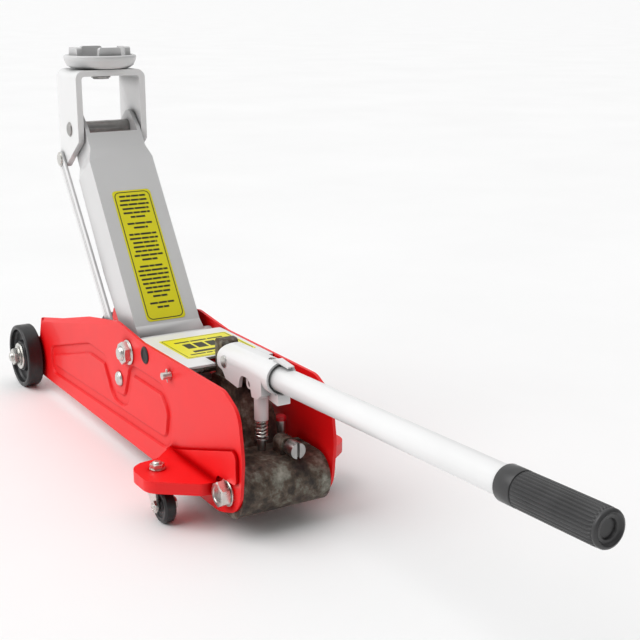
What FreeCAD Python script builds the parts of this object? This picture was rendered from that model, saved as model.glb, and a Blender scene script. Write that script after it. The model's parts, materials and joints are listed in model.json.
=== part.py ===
import FreeCAD, Part
import math
import os

# Trolley jack (hydraulic floor jack) with its lifting arm raised.
# Frame: +X towards the handle, +Y towards the operator's right, +Z up, floor at Z = 0.
# X = 0 is midway between the front wheels' front edge and the end of the handle grip.

V = FreeCAD.Vector
X_AXIS, Y_AXIS, Z_AXIS = V(1, 0, 0), V(0, 1, 0), V(0, 0, 1)

DIMENSIONS = [
    # side plates
    ("plate_face", 55.0, "outer face of a side plate from the middle plane"),
    ("plate_thick", 3.5, "sheet thickness of the side plates"),
    ("plate_bottom", 19.5, "height of the plates' lower edge"),
    ("plate_top", 155.0, "height of the plates' upper edge at the rear"),
    ("plate_rear", 112.0, "rearmost point of the plates"),
    ("groove_deep", 2.4, "depth of the pressed groove"),
    ("groove_wide", 15.0, "width of the pressed groove"),
    # front axle and wheels
    ("axle_x", -515.0, "front axle"),
    ("axle_z", 43.5, "front axle height, equal to the wheel radius"),
    ("axle_rad", 7.0, "front axle radius between the plates"),
    ("journal_rad", 6.5, "front axle radius under the wheels"),
    ("wheel_width", 22.0, "front wheel width"),
    ("wheel_gap", 2.5, "spacer between plate and front wheel"),
    # lifting arm
    ("pivot_x", -168.0, "arm pivot"),
    ("pivot_z", 133.0, "arm pivot height"),
    ("pivot_rad", 12.5, "arm pivot shaft radius"),
    ("arm_length", 304.0, "arm pivot to bracket pin"),
    ("arm_angle", 52.4, "arm above level, in degrees"),
    ("arm_half", 41.5, "half width of the arm"),
    ("ear_half", 36.1, "half width of the arm between the bracket's legs"),
    ("arm_sheet", 5.0, "sheet thickness of the arm"),
    # parallelogram links
    ("link_back", -30.0, "link pins from the arm's pins, along X"),
    ("link_down", -40.0, "link pins from the arm's pins, along Z"),
    ("link_inner", 45.7, "inner face of a link"),
    ("link_thick", 3.2, "link thickness"),
    ("link_rad", 5.0, "radius of the link pins"),
    # saddle bracket and saddle
    ("bracket_half", 45.3, "outer half width of the saddle bracket"),
    ("bracket_thick", 7.5, "thickness of the bracket's bent strap"),
    ("bracket_rise", 73.0, "bracket pin to the bracket's top face"),
    ("bracket_front", 37.0, "bracket pin to the bracket's front face"),
    ("bracket_rear", 29.5, "bracket pin to the bracket's rear face"),
    ("bracket_pin_rad", 9.0, "bracket pin radius"),
    ("saddle_rad", 45.0, "saddle rim radius"),
    ("saddle_rise", 17.0, "saddle rim above the bracket"),
    # ram
    ("ram_z", 89.0, "height of the ram's axis"),
    ("lug_s", -15.8, "ram pin from the arm pivot, along the arm"),
    ("lug_n", -45.3, "ram pin from the arm pivot, across the arm"),
    ("ram_pin_rad", 6.0, "ram pin radius"),
    ("rod_rad", 12.0, "ram rod radius"),
    ("bore_rad", 17.0, "cylinder bore radius"),
    ("reservoir_rad", 31.0, "reservoir tube outer radius"),
    ("reservoir_front", -116.0, "front end of the reservoir"),
    ("reservoir_rear", -36.0, "face where the reservoir enters the pump body"),
    # pump body
    ("bolt_x", 82.0, "pump body bolts"),
    ("bolt_z", 48.0, "pump body bolts' height"),
    ("bar_rad", 29.0, "rounded rear of the pump body"),
    ("body_top", 74.0, "top of the pump body's rear block"),
    # handle and pump plunger
    ("socket_x", 4.0, "handle socket pivot"),
    ("socket_z", 160.6, "handle socket pivot height"),
    ("handle_angle", 2.1, "handle above level, in degrees"),
    ("socket_rad", 17.5, "handle socket outer radius"),
    ("tube_rad", 13.0, "handle tube radius"),
    ("grip_rad", 15.5, "grip radius"),
    ("grip_start", 444.0, "start of the grip from the socket pivot"),
    ("handle_end", 554.0, "end of the grip from the socket pivot"),
    ("plunger_x", 54.0, "pump plunger"),
    ("cap_top", 142.7, "top of the plunger cap"),
    ("cap_bottom", 108.0, "bottom of the plunger cap"),
    ("seat_top", 88.0, "top of the plunger spring's seat"),
    # castors
    ("castor_x", 0.0, "castor swivel axis"),
    ("castor_y", 96.0, "castor swivel axis from the middle plane"),
    ("trail", 15.0, "castor wheel axle behind the swivel axis"),
    ("castor_rad", 19.0, "castor wheel radius"),
    ("castor_width", 13.0, "castor wheel width"),
    ("ear_top", 54.0, "top of the castor bracket's ear"),
    ("ear_deep", 13.0, "depth of the ear's turned-down edge"),
    ("running", 0.05, "radial clearance of a running fit"),
]

DERIVED = [
    ("bracket_x", "=pivot_x - arm_length * cos(arm_angle)", "bracket pin"),
    ("bracket_z", "=pivot_z + arm_length * sin(arm_angle)", "bracket pin height"),
    ("link_x", "=pivot_x + link_back", "link bolts"),
    ("link_z", "=pivot_z + link_down", "link bolts' height"),
    ("ram_pin_x", "=pivot_x - lug_s * cos(arm_angle) + lug_n * sin(arm_angle)", "ram pin"),
    ("ram_pin_z", "=pivot_z + lug_s * sin(arm_angle) + lug_n * cos(arm_angle)", "ram pin height"),
    ("wheel_near", "=plate_face + wheel_gap", "inner face of a front wheel's rim"),
    ("wheel_far", "=plate_face + wheel_gap + wheel_width", "outer face of a front wheel"),
]

doc = FreeCAD.newDocument("TrolleyJack")
sheet = doc.addObject("Spreadsheet::Sheet", "Dimensions")
for row, (alias, value, meaning) in enumerate(DIMENSIONS + DERIVED, start=1):
    sheet.set("A%d" % row, alias)
    sheet.set("B%d" % row, str(value))
    sheet.setAlias("B%d" % row, alias)
    sheet.set("C%d" % row, meaning)
doc.recompute()


def size(alias):
    """A driving dimension, as the sheet holds it."""
    return float(sheet.get(alias))


def bind(thing, prop, formula):
    """Bind a property to the sheet; $name in the formula stands for a cell."""
    thing.setExpression(prop, formula.replace("$", "Dimensions."))


def place(thing, x="0", y="0", z="0", axis=None, angle="0"):
    """Bind a sub-part's Placement to the sheet."""
    if axis is not None:
        thing.Placement = FreeCAD.Placement(V(0, 0, 0), FreeCAD.Rotation(axis, 1.0))
        bind(thing, "Placement.Rotation.Angle", angle)
    for name, formula in (("x", x), ("y", y), ("z", z)):
        bind(thing, "Placement.Base." + name, formula)
    return thing


# ---------------------------------------------------------------- outlines

def line(a, b):
    return Part.LineSegment(V(a[0], a[1], 0), V(b[0], b[1], 0))


def circle(x, y, radius):
    return Part.Circle(V(x, y, 0), Z_AXIS, radius)


def polygon(points):
    """Closed straight outline."""
    return [line(a, b) for a, b in zip(points, points[1:] + points[:1])]


def rounded(corners):
    """Closed outline through (x, y, radius) corners, each rounded by a tangent arc."""
    ends = []
    count = len(corners)
    for i in range(count):
        x, y, radius = corners[i]
        back = V(corners[i - 1][0] - x, corners[i - 1][1] - y, 0)
        ahead = V(corners[(i + 1) % count][0] - x, corners[(i + 1) % count][1] - y, 0)
        back.normalize()
        ahead.normalize()
        half = back.getAngle(ahead) / 2
        reach = radius / math.tan(half)
        middle = back + ahead
        middle.normalize()
        tip = V(x, y, 0) + middle * (radius / math.sin(half) - radius)
        ends.append((V(x, y, 0) + back * reach, tip, V(x, y, 0) + ahead * reach, radius))
    edges = []
    for i in range(count):
        start, tip, end, radius = ends[i]
        if radius > 0:
            edges.append(Part.Arc(start, tip, end))
        following = ends[(i + 1) % count][0]
        if end.distanceToPoint(following) > 1e-6:
            ahead = V(corners[(i + 1) % count][0], corners[(i + 1) % count][1], 0)
            if (following - end).dot(ahead - V(corners[i][0], corners[i][1], 0)) < 0:
                raise ValueError("the arcs at two neighbouring corners overlap")
            edges.append(Part.LineSegment(end, following))
    return edges


def hexagon(across):
    """Hexagon with the given width across its flats."""
    corner = across / math.sqrt(3)
    turns = [math.radians(60 * i + 30) for i in range(6)]
    return polygon([(corner * math.cos(turn), corner * math.sin(turn)) for turn in turns])


def strap(length, radius):
    """Flat link along -X: two half circles of one radius, joined by straight sides."""
    return [
        line((0, radius), (-length, radius)),
        Part.Arc(V(-length, radius, 0), V(-length - radius, 0, 0), V(-length, -radius, 0)),
        line((-length, -radius), (0, -radius)),
        Part.Arc(V(0, -radius, 0), V(radius, 0, 0), V(0, radius, 0)),
    ]


# ---------------------------------------------------------------- features

def new_body(name):
    body = doc.addObject("PartDesign::Body", name)
    body.Label = name
    return body


def sketch_on(body, plane, edges, offset="0"):
    """Sketch with the given edges on one of the body's own origin planes."""
    sketch = body.newObject("Sketcher::SketchObject", body.Name + "_sketch")
    support = [f for f in body.Origin.OriginFeatures if f.Role == plane + "_Plane"][0]
    sketch.AttachmentSupport = [(support, "")]
    sketch.MapMode = "FlatFace"
    bind(sketch, "AttachmentOffset.Base.z", offset)
    sketch.addGeometry(edges, False)
    return sketch


def pad(body, plane, edges, length, offset="0", middle=False, back=False):
    """Pad towards the sketch plane's normal, which is +Z on XY, -Y on XZ and +X on YZ."""
    feature = body.newObject("PartDesign::Pad", body.Name + "_pad")
    feature.Profile = sketch_on(body, plane, edges, offset)
    bind(feature, "Length", length)
    feature.SideType = "Symmetric" if middle else "One side"
    feature.Reversed = back
    doc.recompute()
    return feature


def pocket(body, plane, edges, depth=None, offset="0", back=False, middle=False):
    """Pocket against the sketch plane's normal, or right through both ways."""
    before = body.Shape.Volume
    feature = body.newObject("PartDesign::Pocket", body.Name + "_pocket")
    feature.Profile = sketch_on(body, plane, edges, offset)
    if depth is None:
        feature.Type = "ThroughAll"
        feature.SideType = "Symmetric"
    else:
        bind(feature, "Length", depth)
        feature.SideType = "Symmetric" if middle else "One side"
        feature.Reversed = back
    doc.recompute()
    if body.Shape.Volume > before - 0.01:
        raise RuntimeError(body.Label + ": a pocket cuts nothing")
    return feature


def turned(name, profile):
    """Turned piece on its own Z axis, from a closed (radius, height) profile."""
    body = new_body(name)
    feature = body.newObject("PartDesign::Revolution", name + "_turn")
    feature.Profile = sketch_on(body, "XZ", polygon(profile))
    feature.ReferenceAxis = (feature.Profile[0], ["V_Axis"])
    doc.recompute()
    return body


def shaft(name, steps):
    """Turned shaft from (radius, low, high) steps, listed upwards."""
    profile = [(0, steps[0][1])]
    for radius, low, high in steps:
        profile += [(radius, low), (radius, high)]
    profile.append((0, steps[-1][2]))
    return turned(name, profile)


def mirrored(name, source):
    """The same piece on the jack's other side."""
    twin = doc.addObject("Part::Mirroring", name)
    twin.Label = name
    twin.Source = source
    twin.Normal = Y_AXIS
    return twin


def joined(name, kind, pieces):
    """Part::Fuse, Part::Cut, Part::Common or Part::Compound of pieces."""
    whole = doc.addObject(kind, name)
    whole.Label = name
    if kind in ("Part::Compound", "Part::MultiFuse"):
        setattr(whole, "Links" if kind == "Part::Compound" else "Shapes", pieces)
    else:
        whole.Base, whole.Tool = pieces
    return whole


def group(name, seeds):
    """Equal fasteners on both sides of the jack, as separate solids of one node."""
    twins = [mirrored(seed.Name + "_twin", seed) for seed in seeds]
    return joined(name, "Part::Compound", seeds + twins)


ALONG_Y = (X_AXIS, "-90")


def lay_across(body, x, z, y="0"):
    """Turn a Z-axis piece so that its top faces +Y."""
    return place(body, x, y, z, *ALONG_Y)


def lay_along(body, x, z, y="0"):
    """Turn a Z-axis piece so that its top faces +X."""
    return place(body, x, y, z, Y_AXIS, "90")


# ---------------------------------------------------------------- frame

SPRING_ROD_X, SPRING_ROD_Z, SPRING_ROD_RAD = -51.0, 137.0, 4.0
PLUG_X, PLUG_Z, PLUG_RAD = -119.0, 142.0, 8.0
BODY_BOLT_RAD = 8.0
PLATE_HOLE_GAP = 0.1
GROOVE_SLOPE = 45.0


def plate_outline():
    """Side plate: nose round the axle, rising front, level back and rounded rear end."""
    axle_x, low, top = size("axle_x"), size("plate_bottom"), size("plate_top")
    nose = size("axle_z") - low
    rear = size("plate_rear")
    return rounded([
        (axle_x - nose, low, nose - 0.5),
        (62, low, 60),
        (rear - 4, 34, 34),
        (rear + 3, 92, 60),
        (rear - 5, 140, 26),
        (76, top, 26),
        (-125, top, 60),
        (-200, top + 8, 34),
        (-300, top - 9, 90),
        (-400, 121, 120),
        (-481, 104, 6),
        (-493, 72, 8),
        (axle_x - nose, 2 * nose + low, nose - 0.5),
    ])


def moved_in(corners, gap):
    """The same anticlockwise outline with every side moved in by gap."""
    result = []
    for i in range(len(corners)):
        x, y, radius = corners[i]
        before, after = corners[i - 1], corners[(i + 1) % len(corners)]
        one = V(x - before[0], y - before[1], 0)
        two = V(after[0] - x, after[1] - y, 0)
        one.normalize()
        two.normalize()
        share = gap / (1 + one.dot(two))
        turn = one.cross(two).z
        result.append((
            x - (one.y + two.y) * share, y + (one.x + two.x) * share,
            max(radius - gap, 3) if turn > 0 else radius + gap,
        ))
    return result


def groove_corners():
    """Pressed band on the plates, with a dip below the link bolt."""
    return [
        (-448, 34, 14), (-58, 45, 26), (-46, 96, 28), (-74, 121, 24), (-166, 121, 18),
        (-188, 74, 12), (-216, 74, 12), (-242, 112, 14), (-300, 113, 50), (-448, 72, 14),
    ]


def side_plate(name):
    body = new_body("plate_blank")
    gap = PLATE_HOLE_GAP
    holes = [
        circle(size("axle_x"), size("axle_z"), size("journal_rad") + gap),
        circle(size("pivot_x"), size("pivot_z"), size("pivot_rad") + gap),
        circle(size("link_x"), size("link_z"), size("link_rad") + 1 + gap),
        circle(SPRING_ROD_X, SPRING_ROD_Z, SPRING_ROD_RAD + gap),
        circle(PLUG_X, PLUG_Z, PLUG_RAD + gap),
        circle(size("bolt_x"), size("bolt_z"), BODY_BOLT_RAD + gap),
    ]
    pad(body, "XZ", plate_outline() + holes, "$plate_thick")
    corners = groove_corners()
    pressed = pocket(body, "XZ", rounded(corners), "$groove_deep", "$plate_thick")
    pressed.TaperAngle = -GROOVE_SLOPE
    field = rounded(moved_in(corners, size("groove_wide") - size("groove_deep")))
    raised = pad(body, "XZ", field, "$groove_deep", "$plate_thick - $groove_deep")
    raised.TaperAngle = -GROOVE_SLOPE
    doc.recompute()
    place(body, y="-$plate_face + $plate_thick")
    return joined(name, "Part::Cut", [body, facet_tool()])


def facet_tool():
    """Prism that leaves the plate's upper front edge leaning in, as a bent strip does."""
    tool = new_body("plate_facet")
    face, tall, lean = size("plate_face"), 20.0, math.radians(17)
    section = polygon([
        (-face, 0), (-face + tall * math.tan(lean), tall), (-face - 5, tall), (-face - 5, 0),
    ])
    pad(tool, "YZ", section, "250")
    return place(tool, "-476", "0", "99", Y_AXIS, "-12.1")


def castor_bracket(name):
    """Pressed bracket: a wing on the side plate and a tray-shaped ear over the castor."""
    body = new_body(name)
    face, wall = size("plate_face"), 3.5
    x, y = size("castor_x"), size("castor_y") - face
    wing = rounded([
        (-66, 41.0, 3),
        (58, 41.0, 3),
        (64, 62, 8),
        (size("plate_rear") - 5, 64, 6),
        (size("plate_rear") - 5, 101, 8),
        (-66, 47, 3),
    ])
    pad(body, "XZ", wing, "%g" % wall)
    ear = [
        (66, 0.0, 0),
        (62, -20, 14),
        (x + 27, -y - 24, 22),
        (x - 25, -y - 24, 23.5),
        (x - 27, -y + 12, 16),
        (-56, 0.0, 0),
    ]
    pad(body, "XY", rounded(ear), "$ear_deep", "$ear_top - $ear_deep")
    hollow = [
        (58, -wall, 0),
        (56, -17.5, 11),
        (x + 24.3, -y - 20.5, 18.5),
        (x - 21.5, -y - 20.5, 20),
        (x - 23.5, -y + 11, 16),
        (-48, -wall, 0),
    ]
    cut = "$ear_deep - %g" % wall
    pocket(body, "XY", rounded(hollow), cut, "$ear_top - %g" % wall)
    pocket(body, "XY", [circle(x, -y, 5.1)])
    place(body, y="-$plate_face")
    return body


def front_axle():
    thread, end = 6.0, size("plate_face") + size("wheel_gap") + size("wheel_width")
    inner = size("plate_face") - size("plate_thick")
    body = shaft("front_axle", [
        (thread, -end - 13, -end - 0.3),
        (size("journal_rad"), -end - 0.3, -inner),
        (size("axle_rad"), -inner, inner),
        (size("journal_rad"), inner, end + 0.3),
        (thread, end + 0.3, end + 13),
    ])
    return lay_across(body, "$axle_x", "$axle_z")


def hex_nut(name, across, thick, bore, x, z, face):
    """Nut on a shaft along Y whose inner side lies at y = -face."""
    body = new_body(name)
    pad(body, "XZ", hexagon(across) + [circle(0, 0, bore)], "%g" % thick)
    return place(body, x, "-(%s)" % face, z)


def washer(name, outer, bore, thick, x, z, face):
    body = new_body(name)
    pad(body, "XZ", [circle(0, 0, outer), circle(0, 0, bore)], "%g" % thick)
    return place(body, x, "-(%s)" % face, z)


def axle_nuts():
    """Nuts that hold the front wheels on."""
    nut = hex_nut("axle_nut_seed", 21, 9, 6.05, "$axle_x", "$axle_z", "$wheel_far + 0.3")
    return group("front_axle_nuts", [nut])


def arm_pivot():
    face = size("plate_face")
    body = shaft("arm_pivot_shaft", [
        (8, -face - 13, -face - 0.2),
        (size("pivot_rad"), -face - 0.2, face + 0.2),
        (8, face + 0.2, face + 13),
    ])
    lay_across(body, "$pivot_x", "$pivot_z")
    nut = hex_nut("pivot_nut_seed", 24, 9.5, 8.05, "$pivot_x", "$pivot_z", "$plate_face + 0.2")
    pad(nut, "XZ", [circle(0, 0, 15), circle(0, 0, 8.05)], "2")
    return body, group("arm_pivot_nuts", [nut])


def link_bolts():
    """Shoulder bolts that carry the links' lower ends inside the plates."""
    face, thick = size("plate_face"), size("plate_thick")
    inner = size("link_inner")
    outer = inner + size("link_thick")
    body = shaft("link_bolt_seed", [
        (size("link_rad"), inner - 0.2, outer + 0.2),
        (9, outer + 0.2, face - thick),
        (size("link_rad") + 1, face - thick, face),
        (9, face, face + 3.5),
        (6, face + 3.5, face + 4.5),
    ])
    place(body, "$link_x", "0", "$link_z", X_AXIS, "90")
    return group("link_bolts", [body])


def spring_rod():
    """Cross rod behind the arm that anchors the return springs, with a clip at each end."""
    end = size("plate_face") + 10
    body = shaft("spring_rod", [(SPRING_ROD_RAD, -end, end)])
    lay_across(body, "%g" % SPRING_ROD_X, "%g" % SPRING_ROD_Z)
    clip = washer("rod_clip_seed", SPRING_ROD_RAD + 3, SPRING_ROD_RAD + 0.05, 1.5,
                  "%g" % SPRING_ROD_X, "%g" % SPRING_ROD_Z, "$plate_face + 0.5")
    return body, group("spring_rod_clips", [clip])


def hole_plugs():
    face, thick = size("plate_face"), size("plate_thick")
    body = shaft("hole_plug_seed", [
        (PLUG_RAD, face - thick - 0.5, face),
        (PLUG_RAD + 2, face, face + 1.6),
    ])
    place(body, "%g" % PLUG_X, "0", "%g" % PLUG_Z, X_AXIS, "90")
    return group("hole_plugs", [body])


COVER_FRONT, COVER_REAR, COVER_THICK = -141.0, -12.0, 3.0


def cover_plate():
    """Bent cover over the hydraulic unit, with side flanges and a notch for the tower."""
    body = new_body("cover_plate")
    half = size("plate_face") - size("plate_thick") - 0.2
    rear, front = COVER_REAR, COVER_FRONT
    outline = [
        (front, -half), (rear, -half), (rear, -19), (rear - 25, -19),
        (rear - 25, 19), (rear, 19), (rear, half), (front, half),
    ]
    pad(body, "XY", polygon(outline), "%g" % COVER_THICK)
    flange_front = PLUG_X + PLUG_RAD + 3
    for side in (-1, 1):
        strip = [
            (flange_front, side * half), (SPRING_ROD_X - 8, side * half),
            (SPRING_ROD_X - 8, side * (half - COVER_THICK)),
            (flange_front, side * (half - COVER_THICK)),
        ]
        pad(body, "XY", polygon(strip), "12", back=True)
    return place(body, z="$plate_top - 3")


def cover_label():
    body = new_body("cover_label")
    pad(body, "XY", rounded([(-119, -38, 2), (-41, -38, 2), (-41, 46, 2), (-119, 46, 2)]), "0.3")
    return place(body, z="$plate_top")


# ---------------------------------------------------------------- hydraulic unit

PLUNGER_RAD = 4.0
SLEEVE_RAD = 4.8
SEAT_RAD = 7.5
TOWER_HALF = 12.0
EAR_HALF, EAR_RAD = 9.0, 9.5
MAST_HALF, MAST_TOP = 10.0, 178.0
SOCKET_PIN_RAD = 6.0
POST_X, POST_Y = 47.0, 27.5
VALVE_X, VALVE_Y, VALVE_Z = 78.0, 19.0, 83.0
VALVE_RAD = 4.0


def pump_body():
    """Casting between the plates: rear bar, middle block and the tower for the socket."""
    body = new_body("pump_body")
    half = size("plate_face") - size("plate_thick")
    bar, top, low = size("bar_rad"), size("body_top"), 20.0
    x = size("bolt_x") - 2
    block = rounded([
        (38, low, 4), (x + bar, low, bar - 1), (x + bar, top, bar - 4), (38, top, 3),
    ])
    pad(body, "XZ", block, "%g" % (2 * half), middle=True)
    rear = size("reservoir_rear")
    middle = rounded([(rear, 48, 6), (40, low + 8, 0), (40, top, 0), (12, 118, 8), (rear, 124, 8)])
    pad(body, "XZ", middle, "66", middle=True)
    x, z = size("socket_x"), size("socket_z")
    rib = rounded([(rear, 100, 0), (40, top - 10, 0), (40, top + 4, 4), (24, 138, 8), (rear, 138, 4)])
    pad(body, "XZ", rib, "%g" % (2 * TOWER_HALF), middle=True)
    mast = rounded([
        (rear + 5, 130, 0), (x - 18.6, 130, 0), (x - 18.6, MAST_TOP, 5), (rear + 5, MAST_TOP, 5),
    ])
    pad(body, "XZ", mast, "%g" % (2 * MAST_HALF), middle=True)
    ear = rounded([
        (x - 15, 126, 0), (x + 17, 126, 0), (x + EAR_RAD, z - 6, 6), (x + EAR_RAD, z + EAR_RAD, 9.4),
        (x - EAR_RAD, z + EAR_RAD, 9.4), (x - EAR_RAD, z - 6, 6),
    ])
    pad(body, "XZ", ear, "%g" % (2 * EAR_HALF), middle=True)
    pocket(body, "XZ", [circle(x, z, SOCKET_PIN_RAD + 0.02)])
    pocket(body, "XZ", [circle(size("bolt_x"), size("bolt_z"), 7.02)])
    pocket(body, "XY", [circle(size("plunger_x"), 0, SLEEVE_RAD + 0.1)], "44", "$body_top")
    pocket(body, "XY", [circle(POST_X, POST_Y, 3.1)], "9", "$body_top")
    return body


def valve_tower(body):
    """Boss on the block's top that holds the release valve, square to the rear face."""
    return pad(body, "YZ", rounded([
        (VALVE_Y - 9, 60, 0), (VALVE_Y + 9, 60, 0), (VALVE_Y + 9, VALVE_Z + 8, 7),
        (VALVE_Y - 9, VALVE_Z + 8, 7),
    ]), "18", "%g" % (VALVE_X - 18))


def tube_along(name, outer, inner, front, rear):
    """Tube on the ram's axis between two X positions."""
    body = turned(name, [(inner, front), (outer, front), (outer, rear), (inner, rear)])
    return lay_along(body, "0", "$ram_z")


def cylinder_parts():
    front, rear = size("reservoir_front"), size("reservoir_rear")
    bore, outer = size("bore_rad"), size("reservoir_rad")
    reservoir = tube_along("reservoir_tube", outer, outer - 2.5, front, rear)
    cylinder = tube_along("cylinder_tube", bore + 4, bore, front, rear)
    gland = turned("cylinder_gland", [
        (size("rod_rad") + size("running"), front - 6), (outer - 1, front - 6),
        (outer, front - 5), (outer, front), (size("rod_rad") + size("running"), front),
    ])
    lay_along(gland, "0", "$ram_z")
    return reservoir, cylinder, gland


def body_bolts():
    """Hexagon bolts through the side plates into the pump body, with washers."""
    face, thick = size("plate_face"), size("plate_thick")
    stem = shaft("body_bolt_stem", [
        (7.0, face - thick - 22, face - thick), (BODY_BOLT_RAD, face - thick, face),
        (14.5, face, face + 2.5),
    ])
    place(stem, "$bolt_x", "0", "$bolt_z", X_AXIS, "90")
    head = new_body("body_bolt_head")
    pad(head, "XZ", hexagon(24), "10")
    place(head, "$bolt_x", "-($plate_face + 2.5)", "$bolt_z")
    seed = joined("body_bolt_seed", "Part::MultiFuse", [stem, head])
    return group("body_bolts", [seed])


def pump_sleeve():
    """Screwed-in guide of the plunger, with the seat for its spring."""
    top, seat = size("body_top"), size("seat_top")
    inner = PLUNGER_RAD + size("running")
    body = turned("pump_sleeve", [
        (inner, top - 43), (SLEEVE_RAD, top - 43), (SLEEVE_RAD, seat - 2),
        (SEAT_RAD, seat - 2), (SEAT_RAD, seat), (inner, seat),
    ])
    return place(body, "$plunger_x")


def plunger_parts():
    """Plunger with its cap, and the spring that lifts them, as its outer shape."""
    low, high = size("cap_bottom"), size("cap_top")
    bore = PLUNGER_RAD + 0.02
    plunger = shaft("pump_plunger", [(PLUNGER_RAD, size("body_top") - 40, high - 12)])
    place(plunger, "$plunger_x")
    cap = turned("plunger_cap", [
        (bore, low), (7.5, low), (7.5, high - 5), (6.2, high - 1.2), (5, high),
        (0, high), (0, high - 11.98), (bore, high - 11.98),
    ])
    place(cap, "$plunger_x")
    spring = turned("plunger_spring", [
        (4.6, size("seat_top")), (7.0, size("seat_top")), (7.0, low), (4.6, low),
    ])
    place(spring, "$plunger_x")
    return plunger, cap, spring


def filler_parts():
    """Tapered filler post on the pump body with its cap."""
    top = size("body_top")
    post = turned("filler_post", [
        (0, top - 8), (3.0, top - 8), (3.0, top), (3.6, top), (5.2, top + 26), (0, top + 26),
    ])
    place(post, "%g" % POST_X, "%g" % POST_Y)
    cap = turned("filler_cap", [
        (0, top + 26), (5.6, top + 26), (5.6, top + 30), (4.4, top + 31.5), (0, top + 31.5),
    ])
    place(cap, "%g" % POST_X, "%g" % POST_Y)
    return post, cap


def release_parts():
    """Release valve screw and the slotted knuckle that turns it."""
    stem = shaft("release_valve", [(VALVE_RAD, 0, 24)])
    lay_along(stem, "%g" % (VALVE_X - 12), "%g" % VALVE_Z, "%g" % VALVE_Y)
    knuckle = new_body("release_knuckle")
    start = 16.0
    pad(knuckle, "XY", [circle(0, 0, 8.5)], "16", "%g" % start)
    pocket(knuckle, "XY", polygon([(-9, -1.6), (9, -1.6), (9, 1.6), (-9, 1.6)]), "5",
           "%g" % (start + 16))
    pocket(knuckle, "XY", [circle(0, 0, VALVE_RAD)], "8", "%g" % start, back=True)
    lay_along(knuckle, "%g" % (VALVE_X - 12), "%g" % VALVE_Z, "%g" % VALVE_Y)
    return stem, knuckle


def socket_pivot_pin():
    half = size("socket_rad") + 1.0
    body = shaft("socket_pivot_pin", [(SOCKET_PIN_RAD, -half, half)])
    return lay_across(body, "$socket_x", "$socket_z")


# ---------------------------------------------------------------- ram

CLEVIS_HALF = 15.0


def ram_parts():
    """Clevis with an upright slot, rod, piston and seal."""
    slot_half, pin = 4.4, size("ram_pin_rad") + 0.7
    clevis = new_body("ram_clevis")
    outline = rounded([(-13, -18, 8), (14, -18, 3), (14, 18, 3), (-13, 18, 8)])
    pad(clevis, "XZ", outline, "%g" % (2 * CLEVIS_HALF), middle=True)
    slot = rounded([
        (-pin, -slot_half - pin, pin - 0.01), (pin, -slot_half - pin, pin - 0.01),
        (pin, slot_half + pin, pin - 0.01), (-pin, slot_half + pin, pin - 0.01),
    ])
    pocket(clevis, "XZ", slot)
    place(clevis, "$ram_pin_x", "0", "$ram_z")
    head = size("reservoir_front") + 2
    rod = shaft("ram_rod", [(size("rod_rad"), size("ram_pin_x") + 14, head)])
    lay_along(rod, "0", "$ram_z")
    gap, groove = size("running"), size("bore_rad") - 3
    piston = shaft("ram_piston", [
        (size("bore_rad") - gap, head, head + 5), (groove, head + 5, head + 11),
        (size("bore_rad") - gap, head + 11, head + 16),
    ])
    lay_along(piston, "0", "$ram_z")
    seal = turned("piston_seal", [
        (groove + 0.02, head + 5.2), (size("bore_rad") - gap, head + 5.2),
        (size("bore_rad") - gap, head + 10.8), (groove + 0.02, head + 10.8),
    ])
    lay_along(seal, "0", "$ram_z")
    return clevis, rod, piston, seal


# ---------------------------------------------------------------- lifting arm

WEB_START, WEB_END = 10.0, 283.0
WEB_LOW, WEB_HIGH = 8.3, 24.0


def at_arm(thing):
    """Place a piece drawn with the pivot at its origin and the arm along -X."""
    return place(thing, "$pivot_x", "0", "$pivot_z", Y_AXIS, "$arm_angle")


def web_height(s, drop=0.0):
    """Outer face of the arm's web above the arm's axis, at a distance from the pivot."""
    slope = (WEB_HIGH - WEB_LOW) / (WEB_END - WEB_START)
    return WEB_LOW + slope * (s - WEB_START) - drop


def arm_outer_side():
    length = size("arm_length")
    return rounded([
        (16, 21, 20),
        (-26, web_height(26), 4),
        (-WEB_END + 22, web_height(WEB_END - 22), 20),
        (-WEB_END - 6, web_height(WEB_END) + 0.5, 8),
        (-length - 18, 18, 15),
        (-length - 18, -17, 15),
        (-length + 34, -26, 30),
        (-118, -37, 60),
        (-10, -33, 30),
        (-size("lug_s") - 10, size("lug_n") - 12, 10),
        (-size("lug_s") + 13, size("lug_n") - 13, 12),
        (22, -22, 16),
    ])


def arm_plan(half, top):
    """Half widths along the arm, drawn as a closed outline in X and Y."""
    length = size("arm_length")
    wide, narrow = -246.0, -262.0
    return polygon([
        (40, -half), (wide, -half), (narrow, -top), (-length - 30, -top),
        (-length - 30, top), (narrow, top), (wide, half), (40, half),
    ])


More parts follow.
